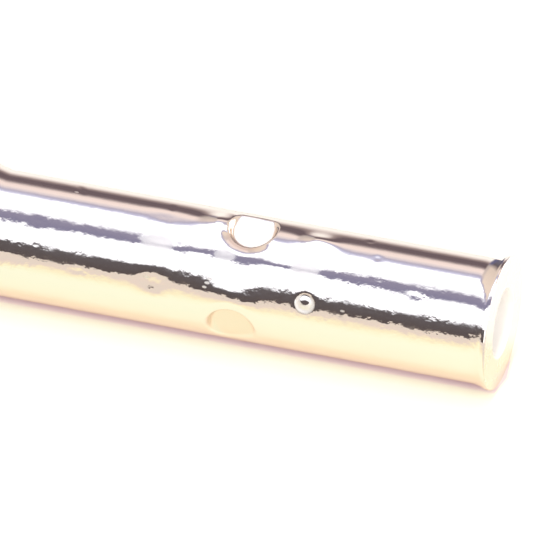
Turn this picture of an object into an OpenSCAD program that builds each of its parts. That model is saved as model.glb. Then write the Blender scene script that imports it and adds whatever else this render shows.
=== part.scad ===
// Crimp wire splice: a bare butt connector, one thick tin-plated tube.
// A stripped wire goes in at each end as far as the ring of stops near the
// middle, and a crimping tool then squeezes the tube on to both wires.
// X runs along the tube, +Z is up, and the origin is the middle of the tube.

/* [Tube] */
// Length over both lips
barrel_length = 15; // [11:0.5:20]
// Bore, the largest bare wire that goes in
bore_d = 1.8; // [1.5:0.1:2.6]
// Wall of the tube between the lips
wall_t = 0.9; // [0.7:0.05:1.2]

/* [Lips] */
// How far each end flares out beyond the tube
lip_rise = 0.12; // [0.06:0.01:0.2]
// Length along the tube over which it flares
flare_length = 0.5; // [0.4:0.05:0.8]
// Straight band at the full width of the lip
lip_land = 0.06; // [0.04:0.01:0.15]
// Rounding of the lip's outer edge
lip_round = 0.05; // [0.02:0.01:0.08]
// Rounding of the bore's mouth, where the wire is led in
mouth_round = 0.16; // [0.08:0.02:0.3]
// Width of the slight flat under each lip, on which the tube lies
rest_flat = 0.8; // [0.7:0.05:0.9]

/* [Wire stops] */
// Number of punched stops round the tube
stop_count = 4; // [2:1:4]
// How far the ring of stops is turned from upright, in degrees
stop_turn = 10; // [0:5:90]
// How far the ring of stops lies beyond the middle of the tube
stop_shift = 0.2; // [0:0.05:0.5]
// Depth of each punch mark below the tube's surface
stop_depth = 0.24; // [0.18:0.01:0.28]
// Radius of the punch's round nose
punch_r = 1.2; // [1:0.05:1.4]
// Rounding of the mark's rim
shoulder_r = 0.15; // [0.1:0.01:0.2]
// How far each stop stands into the bore
stop_proud = 0.3; // [0.2:0.02:0.36]
// Radius of the round bump that is the stop
bump_r = 0.9; // [0.8:0.05:1.05]
// How far the bore is drawn in all round between the stops
ring_proud = 0.1; // [0.06:0.02:0.16]
// Run of the drawn-in ring past the bumps, at each side
ring_margin = 0.05; // [0.04:0.01:0.2]

/* [Hidden] */

barrel_r = bore_d / 2 + wall_t;
bore_r = bore_d / 2;
lip_r = barrel_r + lip_rise;
rest_h = sqrt(lip_r * lip_r - rest_flat * rest_flat / 4);

// the flare is one arc that leaves the tube's surface along it
flare_r = (flare_length * flare_length + lip_rise * lip_rise) / (2 * lip_rise);
waist_half = barrel_length / 2 - lip_round - lip_land - flare_length;

// heights above the tube's axis at a punch mark
nose_h = barrel_r - stop_depth + punch_r;
shoulder_h = barrel_r - shoulder_r + 0.01;
shoulder_x = sqrt(pow(punch_r + shoulder_r, 2) - pow(nose_h - shoulder_h, 2));
tool_top = nose_h + punch_r + 1;

// the bump's centre, and the depth in the wall at which it is buried
bump_h = bore_r - stop_proud + bump_r;
bury_r = bore_r + wall_t * 0.4;

// half the length of a bump and of the ring where they leave the bore, and
// the arc that is the ring's section
bump_half = sqrt(pow(bump_r, 2) - pow(bump_h - bore_r, 2));
ring_half = bump_half + ring_margin;
ring_r = (pow(ring_half, 2) + pow(ring_proud, 2)) / (2 * ring_proud);

tin = [0.80, 0.78, 0.77];

$fn = 96;

// What is taken off a square corner to round it: the corner is at the
// origin, with the metal on its -x and -y sides.
module corner_cut(r) {
    difference() {
        translate([-r, -r]) square([r + 0.1, r + 0.1]);
        translate([-r, -r]) circle(r);
        translate([-r - 0.1, -r - 0.1]) square([r + 0.1, 0.1]);
        translate([-r - 0.1, -r - 0.1]) square([0.1, r + 0.2]);
    }
}

// Half section of the tube: x is the distance from the axis, y runs along it
module wall_section() {
    difference() {
        translate([bore_r, -barrel_length / 2])
            square([lip_r - bore_r, barrel_length]);
        // the waist between the lips, with an arc at each end
        translate([barrel_r, -waist_half])
            square([lip_rise + 0.5, 2 * waist_half]);
        for (s = [-1, 1])
            translate([barrel_r + flare_r, s * waist_half]) circle(flare_r);
        // lips and mouths
        for (s = [0, 1]) mirror([0, s]) {
            translate([lip_r, barrel_length / 2]) corner_cut(lip_round);
            translate([bore_r, barrel_length / 2]) mirror([1, 0])
                corner_cut(mouth_round);
        }
    }
}

module tube() {
    rotate([0, 90, 0]) rotate_extrude() wall_section();
}

// Places its children at each stop, with their z axis outwards from the tube
module at_stops() {
    for (i = [0 : stop_count - 1])
        rotate([stop_turn + i * 360 / stop_count, 0, 0])
            translate([stop_shift, 0, 0]) children();
}

// The space a round-nosed punch leaves, with the rolled shoulder round it
module punch_mark() {
    rotate_extrude() {
        intersection() {
            translate([0, nose_h]) circle(punch_r);
            square([punch_r, tool_top]);
        }
        difference() {
            polygon([
                [0, nose_h], [shoulder_x, shoulder_h],
                [shoulder_x, tool_top], [0, tool_top]
            ]);
            translate([shoulder_x, shoulder_h]) circle(shoulder_r);
        }
    }
}

// Metal pushed inwards: a round bump under each punch mark, and a low ring
// between them. Both are cut off inside the wall.
module stops() {
    intersection() {
        translate([stop_shift, 0, 0]) rotate([0, 90, 0])
            cylinder(r = bury_r, h = 4 * bump_r, center = true);
        union() at_stops() translate([0, 0, bump_h]) sphere(bump_r);
    }
    translate([stop_shift, 0, 0]) rotate([0, 90, 0])
        rotate_extrude() intersection() {
            translate([bore_r - ring_proud + ring_r, 0]) circle(ring_r);
            translate([0, -ring_half - 1])
                square([bury_r, 2 * ring_half + 2]);
        }
}

// What is taken off under the lips
module under_lips() {
    translate([-barrel_length, -lip_r, -rest_h - lip_r])
        cube([2 * barrel_length, 2 * lip_r, lip_r]);
}

module barrel() {
    color(tin) difference() {
        union() {
            tube();
            stops();
        }
        at_stops() punch_mark();
        under_lips();
    }
}

barrel();
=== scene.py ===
# Crimp wire splice lying on a pale table, seen from the right and a little above.

import math

import bmesh
import bpy
from mathutils import Matrix, Vector, noise


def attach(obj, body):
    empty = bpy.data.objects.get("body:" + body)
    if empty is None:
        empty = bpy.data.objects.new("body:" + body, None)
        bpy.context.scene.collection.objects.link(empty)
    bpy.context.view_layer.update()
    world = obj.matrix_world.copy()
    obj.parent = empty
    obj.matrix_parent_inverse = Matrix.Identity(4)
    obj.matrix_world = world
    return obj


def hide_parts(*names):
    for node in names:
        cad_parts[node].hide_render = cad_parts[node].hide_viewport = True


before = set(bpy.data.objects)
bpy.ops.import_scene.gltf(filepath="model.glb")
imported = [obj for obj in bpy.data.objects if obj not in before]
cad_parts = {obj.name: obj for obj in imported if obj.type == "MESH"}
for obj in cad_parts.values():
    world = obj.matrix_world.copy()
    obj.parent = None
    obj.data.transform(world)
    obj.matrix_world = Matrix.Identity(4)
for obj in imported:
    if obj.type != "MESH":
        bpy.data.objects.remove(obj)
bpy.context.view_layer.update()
scene = bpy.context.scene
mm = 0.001

# BARREL
# The splice itself: one length of thick copper tube, cut off, its ends flared,
# round marks punched into it, and the whole then plated with bright tin.

barrel_half = 7.5 * mm
barrel_r = 1.8 * mm
bore_r = 0.9 * mm
lip_r = 1.915 * mm
flare_length = 0.5 * mm
lip_land = 0.06 * mm
lip_round = 0.05 * mm
mouth_round = 0.16 * mm
around = 288  # steps round the tube


def arc(centre, radius, start, end, steps):
    """Points of an arc in the half section, as (along, out), angles in degrees."""
    turns = [math.radians(start + (end - start) * i / steps) for i in range(steps + 1)]
    return [(centre[0] + radius * math.cos(t), centre[1] + radius * math.sin(t)) for t in turns]


def half_section():
    """The right half of the wall's outline, from the middle outside round to the middle of the bore."""
    rise = lip_r - barrel_r
    flare_r = (flare_length ** 2 + rise ** 2) / (2 * rise)
    waist = barrel_half - lip_round - lip_land - flare_length
    sweep = math.degrees(math.asin(flare_length / flare_r))
    rows = [i * 0.05 * mm for i in range(52)]  # close rows where the punch marks are
    x = rows[-1]
    while x + 0.07 * mm < waist:
        x += 0.07 * mm
        rows.append(x)
    outside = [(x, barrel_r) for x in rows]
    outside += arc((waist, barrel_r + flare_r), flare_r, -90, -90 + sweep, 10)
    outside += arc((barrel_half - lip_round, lip_r - lip_round), lip_round, 90, 0, 5)
    face = [(barrel_half, lip_r - lip_round - (lip_r - bore_r - lip_round - mouth_round) * i / 5) for i in range(1, 5)]
    mouth = arc((0, bore_r + mouth_round), mouth_round, 0, -90, 8)
    mouth = [(barrel_half + (x - mouth_round) * 1.6, r) for x, r in mouth]
    inside = [(x * mm, bore_r) for x in (7.1, 6.3, 5.0, 3.6, 2.4, 1.6, 1.3)]
    inside += [(i * 0.06 * mm, bore_r) for i in range(19, 0, -1)]
    return outside + face + mouth + inside


right = half_section()
left = [(-x, r) for x, r in reversed(right) if x > 1e-9]
bm = bmesh.new()
ring = [bm.verts.new((x, 0, r)) for x, r in right + [(0, bore_r)] + left]
edges = [bm.edges.new((a, b)) for a, b in zip(ring, ring[1:] + ring[:1])]
bmesh.ops.spin(bm, geom=ring + edges, cent=(0, 0, 0), axis=(1, 0, 0), dvec=(0, 0, 0), angle=2 * math.pi, steps=around, use_merge=True, use_duplicate=False)
bmesh.ops.remove_doubles(bm, verts=bm.verts, dist=0.0005 * mm)
bmesh.ops.recalc_face_normals(bm, faces=bm.faces)

# Four punch marks, and inside the bore the bumps that they push in. The
# punch leaves a shallow pit with a flat floor and a crisp rim. The metal just
# outside it is drawn down towards the rim, and heaved up a little beyond
# that. No two punches fall quite alike.
marks = [  # place along the tube, turn from upright, depth, lean round and along, edge, drawn down, its reach, heave
    (0.32, 3, 0.22, 0.32, -0.02, 0.69, 0.125, 1.06, 0.0),
    (0.15, 110, 0.19, -0.15, -0.14, 0.75, 0.010, 0.96, 0.060),
    (0.20, 190, 0.18, 0.0, 0.05, 0.70, 0.050, 0.96, 0.014),
    (0.22, 280, 0.19, -0.05, 0.0, 0.70, 0.040, 0.96, 0.012),
]
pit_r, crest_r, mark_reach = 0.60, 0.98, 2.0
stop_turn = 10
stop_shift = 0.2 * mm
bump_r = 0.9 * mm
stop_proud = 0.3 * mm
ring_proud = 0.1 * mm
ring_half = 0.721 * mm


def fall(value, high, low):
    """A smooth fall from 1 at or below the first limit to 0 at or beyond the second."""
    f = max(0.0, min(1.0, (low - value) / (low - high)))
    return f * f * (3 - 2 * f)


def punched(x, turn, mark, deep):
    """How deep a punch mark leaves the surface, where other knocks have left it at some depth already."""
    along, at, pit_deep, lean_round, lean_along, edge, drawn, drawn_r, heave = mark
    across = ((turn - math.radians(at) + math.pi) % (2 * math.pi) - math.pi) * barrel_r / mm
    ahead = x / mm - along
    d = math.hypot(ahead, across)
    if d > mark_reach:
        return deep
    floor = pit_deep + lean_round * across + lean_along * ahead - 0.247 * across ** 2 - 0.05 * d ** 2
    lower_left = max(0.0, min(1.0, (across - 0.6 * ahead) / max(d, 0.01)))
    above = max(0.0, -across / max(d, 0.01)) ** 2
    skirt = drawn * lower_left * fall(d, pit_r, drawn_r)
    skirt -= heave * above * math.exp(-((d - crest_r) / (0.42 if d > crest_r else 0.13)) ** 2)
    inside = fall(d, pit_r, edge)
    return inside * max(floor, 0.0) * mm + (1 - inside) * (skirt * mm + deep)


def bumped(x, turn, r):
    """The bore's radius near a stop: the drawn-in ring, or the bump where that stands further in."""
    ring_r = (ring_half ** 2 + ring_proud ** 2) / (2 * ring_proud)
    best = r
    if abs(x) < ring_half:
        best = min(best, r - ring_proud + ring_r - math.sqrt(ring_r ** 2 - x ** 2))
    h = bore_r - stop_proud + bump_r
    c, s = math.cos(turn), math.sin(turn)
    under = bump_r ** 2 - x ** 2 - (h * s) ** 2
    if c > 0 and under > 0:
        best = min(best, h * c - math.sqrt(under))
    return best


# Knocks from the bin it came out of: place along the tube, turn from upright,
# half length, half width, depth and slant
knocks = [
    (-2.12, 75, 0.40, 0.30, 0.050, 0.0), (-2.16, 11, 0.50, 0.20, 0.012, 0.0), (-2.05, 41, 0.55, 0.16, -0.026, 0.1),
    (2.25, 7, 0.45, 0.26, -0.080, 0.0), (2.05, 39, 0.60, 0.17, -0.026, -0.1), (-0.25, 41, 0.22, 0.16, -0.020, 0.0), (-0.45, 5, 0.60, 0.30, -0.095, 0.0), (-0.05, 69, 0.45, 0.16, -0.014, 0.0),
    (-0.90, 38, 0.40, 0.15, -0.014, 0.0), (1.25, 38, 0.40, 0.15, -0.014, 0.0),
    (-4.75, -5, 0.06, 0.16, 0.010, 0.5), (-2.09, -3, 0.07, 0.10, 0.008, 0.0), (4.00, 14, 0.10, 0.10, 0.010, 0.0),
    (3.60, -6, 0.09, 0.09, 0.010, 0.0), (3.38, 70, 0.06, 0.26, 0.010, 0.3), (-4.31, 76, 0.26, 0.09, 0.010, 0.0),
    (-5.60, 38, 0.20, 0.14, 0.012, 0.0), (5.30, 43, 0.24, 0.12, 0.012, 0.2), (0.60, 155, 0.40, 0.20, 0.015, 0.2),
    (-3.80, -62, 0.30, 0.20, 0.015, 0.0), (1.90, -40, 0.24, 0.16, 0.015, 0.3), (4.60, -110, 0.36, 0.22, 0.015, 0.0),
]
nick_x, nick_turn, nick_r, nick_width, nick_depth = 2.27 * mm, 67, 0.21 * mm, 0.1 * mm, 0.03 * mm


def knocked(x, turn):
    """How deep the knocks and the one ring-shaped nick leave the surface at a place on the tube."""
    deep = 0.0
    for along, at, length, width, depth, slant in knocks:
        dy = ((turn - math.radians(at) + math.pi) % (2 * math.pi) - math.pi) * barrel_r / mm
        dx = x / mm - along - slant * dy
        far = (dx / length) ** 2 + (dy / width) ** 2
        if far < 6:
            deep += depth * mm * math.exp(-far)
    dy = (turn - math.radians(nick_turn)) * barrel_r
    far = (math.hypot(x - nick_x, dy) - nick_r) / nick_width
    return deep + nick_depth * max(0, 1 - abs(far))


for v in bm.verts:
    x, y, z = v.co
    r, turn = math.hypot(y, z), math.atan2(-y, z)
    if r < 1.7 * mm and abs(x) > 2.2 * mm:
        continue
    new = r
    deep = knocked(x, turn) if r > 1.7 * mm and abs(x) < 6.8 * mm else 0.0
    for k, mark in enumerate(marks):
        off = (turn - math.radians(stop_turn + 90 * k) + math.pi) % (2 * math.pi) - math.pi
        if r > 1.7 * mm:
            deep = punched(x, turn, mark, deep)
        elif r < 1.0 * mm:
            new = min(new, bumped(x - stop_shift, off, r))
    new -= deep
    v.co = (x, y * new / r, z * new / r)

# the slight flat under each lip, on which it lies
rest_z = -math.sqrt((1.92 * mm) ** 2 - (0.4 * mm) ** 2)
for v in bm.verts:
    v.co.z = max(v.co.z, rest_z)

mesh = bpy.data.meshes.new("barrel_tube")
bm.to_mesh(mesh)
bm.free()
mesh.shade_smooth()
barrel = bpy.data.objects.new("barrel_tube", mesh)
scene.collection.objects.link(barrel)

# Bright tin plate over metal that was tumbled: a mirror with a fine uneven
# grain, smoother along the top. The bore and the cut ends are satin.
tin = bpy.data.materials.new("tin_plate")
tin.use_nodes = True
nodes, links = tin.node_tree.nodes, tin.node_tree.links
skin = nodes["Principled BSDF"]
skin.inputs["Metallic"].default_value = 1.0


def node(kind, **settings):
    """A new node in the tree at hand, with its settings."""
    made = nodes.new("ShaderNode" + kind)
    for name, value in settings.items():
        setattr(made, name, value)
    return made


def ranged(value, low, high, start, end):
    """A smooth run from start to end as a value goes from low to high."""
    made = node("MapRange", interpolation_type="SMOOTHSTEP")
    links.new(value, made.inputs["Value"])
    for name, number in (("From Min", low), ("From Max", high), ("To Min", start), ("To Max", end)):
        made.inputs[name].default_value = number
    return made.outputs["Result"]


def sum_of(kind, first, second):
    """Two values, or a value and a number, put together."""
    made = node("Math", operation=kind)
    for socket, value in zip(made.inputs, (first, second)):
        if isinstance(value, (int, float)):
            socket.default_value = value
        elif value is not None:
            links.new(value, socket)
    return made.outputs[0]


def noise_of(scale, detail, roughness=0.5):
    """Noise on the barrel's own coordinates; scale is per metre."""
    made = node("TexNoise")
    links.new(place.outputs["Object"], made.inputs["Vector"])
    for name, number in (("Scale", scale), ("Detail", detail), ("Roughness", roughness)):
        made.inputs[name].default_value = number
    return made.outputs["Fac"]


place = node("TexCoord")
parts = node("SeparateXYZ")
links.new(place.outputs["Object"], parts.inputs[0])
along = sum_of("ABSOLUTE", parts.outputs["X"], None)
out = sum_of("SQRT", sum_of("ADD", sum_of("POWER", parts.outputs["Y"], 2), sum_of("POWER", parts.outputs["Z"], 2)), None)

in_bore = ranged(out, 0.98 * mm, 1.08 * mm, 1, 0)
cut_end = ranged(along, 7.46 * mm, 7.49 * mm, 0, 1)
in_mark = sum_of("MULTIPLY", ranged(out, 1.72 * mm, 1.76 * mm, 1, 0), ranged(along, 3.0 * mm, 3.2 * mm, 1, 0))
satin = sum_of("MAXIMUM", sum_of("MULTIPLY", in_mark, 0.45), sum_of("MAXIMUM", in_bore, sum_of("MULTIPLY", cut_end, 0.5)))
cloudy = noise_of(900, 2)
polish = sum_of("ADD", ranged(cloudy, 0.35, 0.7, 0.05, 0.1), sum_of("MULTIPLY", satin, 0.4))

# scuffed spots: place along the tube, turn from upright, half length and roughness
stretched = node("VectorMath", operation="MULTIPLY")
links.new(place.outputs["Object"], stretched.inputs[0])
stretched.inputs[1].default_value = (0.5, 1, 1)
for at_x, at_turn, size, rough in [
    (-2.16, 38, 0.50, 0.3), (-0.21, 38, 0.34, 0.3), (2.11, 38, 0.44, 0.3),
    (-0.62, 69, 0.08, 0.4), (-0.56, 65, 0.08, 0.4), (-0.50, 61, 0.08, 0.4), (3.36, 68, 0.07, 0.3),
    (-4.86, 0, 0.07, 0.3), (-2.30, 70, 0.12, 0.3),
]:
    tilt = math.radians(at_turn)
    spot = node("VectorMath", operation="DISTANCE")
    links.new(stretched.outputs[0], spot.inputs[0])
    spot.inputs[1].default_value = (0.5 * at_x * mm, -barrel_r * math.sin(tilt), barrel_r * math.cos(tilt))
    scuff = ranged(spot.outputs["Value"], 0.35 * size * mm, 0.6 * size * mm, rough, 0)
    polish = sum_of("ADD", polish, scuff)
rings = []
for at_x, at_turn in [(nick_x, 64), (nick_x, 68)]:
    ringed = node("VectorMath", operation="DISTANCE")
    links.new(place.outputs["Object"], ringed.inputs[0])
    tilt = math.radians(at_turn)
    ringed.inputs[1].default_value = (at_x, -barrel_r * math.sin(tilt), barrel_r * math.cos(tilt))
    rings.append(ringed.outputs["Value"])
ring_of = sum_of("MULTIPLY", ranged(rings[0], 0.12 * mm, 0.18 * mm, 0, 1), ranged(rings[1], 0.24 * mm, 0.32 * mm, 0.5, 0))
polish = sum_of("ADD", polish, ring_of)
links.new(polish, skin.inputs["Roughness"])
links.new(ranged(out, 0.94 * mm, 1.08 * mm, 0.0, 1), skin.inputs["Metallic"])
mark_tint = node("MixRGB")  # inside the punch marks the colour is peach-tinted, and in the bore it is pale
links.new(in_mark, mark_tint.inputs[0])
mark_tint.inputs[1].default_value = (0.86, 0.84, 0.83, 1)
mark_tint.inputs[2].default_value = (0.85, 0.77, 0.71, 1)
matt_bore = node("MixRGB")
links.new(in_bore, matt_bore.inputs[0])
links.new(mark_tint.outputs[0], matt_bore.inputs[1])
matt_bore.inputs[2].default_value = (0.95, 0.94, 0.92, 1)
links.new(matt_bore.outputs[0], skin.inputs["Base Color"])

side = ranged(parts.outputs["Y"], -1.2 * mm, -0.3 * mm, 1, 0.12)
patches = ranged(noise_of(1100, 1), 0.35, 0.65, 0.45, 1.0)
grain = sum_of("MULTIPLY", noise_of(5200, 2, 0.5), sum_of("MULTIPLY", side, patches))
waves = sum_of("MULTIPLY", noise_of(1300, 2, 0.4), side)
bump = node("Bump")
bump.inputs["Strength"].default_value = 1.0
bump.inputs["Distance"].default_value = 0.01 * mm
links.new(sum_of("ADD", grain, sum_of("MULTIPLY", waves, 1.2)), bump.inputs["Height"])
links.new(bump.outputs["Normal"], skin.inputs["Normal"])
mesh.materials.append(tin)

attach(barrel, "root")
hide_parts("barrel")

# TABLE
# A pale sheet that the splice lies on. Its glow is painted by distance from the splice: painted shade and a cream halo
# close to it, white further off, and a painted reflection for the metal to mirror.

bm = bmesh.new()
bmesh.ops.create_grid(bm, x_segments=8, y_segments=8, size=0.6)
bmesh.ops.translate(bm, verts=bm.verts, vec=(0, 0, rest_z))
sheet_mesh = bpy.data.meshes.new("table_sheet")
bm.to_mesh(sheet_mesh)
bm.free()
sheet = bpy.data.objects.new("table_sheet", sheet_mesh)
scene.collection.objects.link(sheet)
pale = bpy.data.materials.new("pale_sheet")
pale.use_nodes = True
nodes, links = pale.node_tree.nodes, pale.node_tree.links
nodes.remove(nodes["Principled BSDF"])


def ramp_of(value, reach, stops):
    """A colour ramp over a value; each stop is a value and its colour, or its grey."""
    made = node("ValToRGB")
    links.new(sum_of("DIVIDE", value, reach), made.inputs["Fac"])
    ramp = made.color_ramp
    while len(ramp.elements) < len(stops):
        ramp.elements.new(0.5)
    for element, (at, colour) in zip(ramp.elements, stops):
        element.position = at / reach
        element.color = (*colour, 1) if isinstance(colour, tuple) else (colour, colour, colour, 1)
    return made.outputs["Color"]


def blend_of(factor, first, second):
    """One colour going over into another."""
    made = node("MixRGB")
    for socket, value in zip(made.inputs, (factor, first, second)):
        if isinstance(value, tuple):
            socket.default_value = (*value, 1)
        else:
            links.new(value, socket)
    return made.outputs["Color"]


place = node("TexCoord")
parts = node("SeparateXYZ")
links.new(place.outputs["Object"], parts.inputs[0])
past_end = sum_of("MAXIMUM", sum_of("SUBTRACT", sum_of("ABSOLUTE", parts.outputs["X"], None), barrel_half), 0)
off = sum_of("ADD", sum_of("ABSOLUTE", parts.outputs["Y"], None), sum_of("MULTIPLY", past_end, 6))
off = sum_of("MULTIPLY", off, 1000)
# painted shade: the sheet glows less for the camera close to the splice, giving a painted shadow and cream halo there,
# and white further off
seen_painted_shade = ramp_of(off, 4, [
    (0, (0.05, 0.02, 0.1)), (0.56, (0.07, 0.02, 0.13)), (0.65, (0.10, 0.06, 0.17)), (0.74, (0.17, 0.14, 0.22)), (0.83, (0.27, 0.27, 0.26)),
    (0.93, (0.29, 0.34, 0.27)), (1.2, (0.28, 0.40, 0.37)), (1.5, (0.25, 0.38, 0.42)), (1.9, (0.22, 0.32, 0.44)), (2.6, (0.22, 0.28, 0.42)), (4, (0.4, 0.46, 0.56)),
])
# painted reflection: what the metal mirrors of the sheet, dark next to the splice, warm a little way off and fading to
# nothing far away
painted_reflection = ramp_of(off, 50, [
    (0, (0.12, 0.05, 0.02)), (0.9, (0.22, 0.11, 0.08)), (1.2, (0.38, 0.25, 0.13)), (1.64, (0.37, 0.30, 0.12)), (2.05, (0.32, 0.36, 0.18)), (3.0, (0.25, 0.36, 0.18)),
    (4.6, (0.24, 0.36, 0.19)), (6.0, (0.23, 0.34, 0.14)), (8.5, (0.22, 0.23, 0.0)), (14.8, (0.03, 0.0, 0.0)), (24, (0, 0, 0)),
])
# behind the splice the painted reflection is a plain grey-blue
painted_reflection = blend_of(ranged(parts.outputs["Y"], 0.8 * mm, 2.2 * mm, 0, 1), painted_reflection, (0.42, 0.46, 0.48))
matt = node("BsdfDiffuse")
matt.inputs["Color"].default_value = (0.82, 0.74, 0.63, 1)
ray = node("LightPath")
seen = sum_of("MAXIMUM", ray.outputs["Is Camera Ray"], sum_of("MAXIMUM", ray.outputs["Is Glossy Ray"], ray.outputs["Is Transmission Ray"]))
# the painted shade and painted reflection glow only for camera, glossy and transmission rays
glow = node("Emission")
links.new(seen, glow.inputs["Strength"])
links.new(blend_of(ray.outputs["Is Camera Ray"], painted_reflection, seen_painted_shade), glow.inputs["Color"])
both = node("AddShader")
links.new(matt.outputs[0], both.inputs[0])
links.new(glow.outputs[0], both.inputs[1])
links.new(both.outputs[0], nodes["Material Output"].inputs["Surface"])
sheet_mesh.materials.append(pale)

# STUDIO
# Two long soft lights run along the splice, one in front and one overhead,
# with the dark of the room between and beside them, and a pale wall at the
# right that shines into the bore.

world = bpy.data.worlds.new("studio")
scene.world = world
world.use_nodes = True
nodes, links = world.node_tree.nodes, world.node_tree.links
back = nodes["Background"]
place = node("TexCoord")
parts = node("SeparateXYZ")
links.new(place.outputs["Generated"], parts.inputs[0])
turn = sum_of("ARCTAN2", parts.outputs["Z"], sum_of("MULTIPLY", parts.outputs["Y"], -1))
turn = sum_of("MULTIPLY", turn, 180 / math.pi)
lamp = (1.5, 1.5, 1.55)
middle = ramp_of(turn, 180, [
    (0, (0.115, 0.09, 0.085)), (20, (0.14, 0.12, 0.125)), (25, lamp), (55, lamp),
    (60, (0.28, 0.26, 0.38)), (73, (0.34, 0.31, 0.42)), (81, lamp), (110, lamp),
    (114, (0.68, 0.66, 0.86)), (118, (0.53, 0.48, 0.60)), (122, (0.90, 0.78, 0.78)), (127, (1.12, 0.92, 0.84)), (133, (1.05, 0.85, 0.78)),
    (139, (0.32, 0.25, 0.25)), (143, (0.18, 0.13, 0.14)), (153, (0.18, 0.13, 0.14)), (159, (0.42, 0.32, 0.30)), (165, (0.95, 0.82, 0.76)), (171, (1.2, 1.12, 1.02)),
])
ends = ramp_of(turn, 180, [
    (0, (0.115, 0.09, 0.085)), (24, (0.14, 0.12, 0.125)), (30, (0.95, 0.9, 0.78)), (60, (0.95, 0.8, 0.7)), (108, (1.0, 0.82, 0.68)),
    (148, (0.85, 0.69, 0.58)), (156, (0.4, 0.32, 0.30)), (161, (0.16, 0.13, 0.14)), (172, (0.17, 0.15, 0.2)),
])
rim = ramp_of(turn, 180, [(0, (0.5, 0.46, 0.62)), (112, (0.5, 0.46, 0.62)), (122, (0.8, 0.66, 0.6)), (150, (0.6, 0.5, 0.45)), (160, (0.16, 0.15, 0.26))])
reach = ramp_of(turn, 180, [
    (0, 1.0), (60, 1.0), (68, 0.85), (81, 0.68), (92, 0.64), (101, 0.46), (109, 0.29), (118, 0.27), (160, 0.28), (170, 0.28),
])
sideways_off = sum_of("ABSOLUTE", sum_of("ADD", parts.outputs["X"], 0.1), None)
spare = sum_of("SUBTRACT", reach, sideways_off)
edge = blend_of(ranged(spare, -0.1, 0.0, 0, 1), ends, rim)
lit = blend_of(ranged(spare, 0.0, 0.07, 0, 1), edge, middle)
window = sum_of("MULTIPLY", ranged(parts.outputs["X"], 0.42, 0.52, 0, 1), ranged(parts.outputs["Z"], 0.35, 0.5, 1, 0))
lit = blend_of(window, lit, (2.8, 2.7, 2.55))
low_wall = sum_of("MULTIPLY", ranged(parts.outputs["X"], 0.12, 0.24, 0, 1), ranged(turn, 56, 62, 1, 0))
lit = blend_of(low_wall, lit, (2.5, 2.45, 2.35))
path = node("LightPath")
links.new(blend_of(path.outputs["Is Camera Ray"], lit, (1.0, 1.0, 1.0)), back.inputs["Color"])
back.inputs["Strength"].default_value = 1.0

# CAMERA
# A very long lens, 17 degrees round to the right and 36 degrees up, close in.

azimuth, elevation = math.radians(17.2), math.radians(36.5)
towards = Vector((math.sin(azimuth) * math.cos(elevation), -math.cos(azimuth) * math.cos(elevation), math.sin(elevation)))
camera_data = bpy.data.cameras.new("camera")
camera_data.lens = 900
camera_data.sensor_width = 36
camera_data.clip_start = 0.01
camera_data.clip_end = 10
camera = bpy.data.objects.new("camera", camera_data)
scene.collection.objects.link(camera)
turned = (-towards).to_track_quat("-Z", "Y")
sideways, upwards = turned @ Vector((1, 0, 0)), turned @ Vector((0, 1, 0))
aim = sideways * 0.86 * mm + upwards * 0.0 * mm
camera.rotation_euler = turned.to_euler()
camera.location = aim + towards * 0.3816
scene.camera = camera

scene.view_settings.view_transform = "Standard"
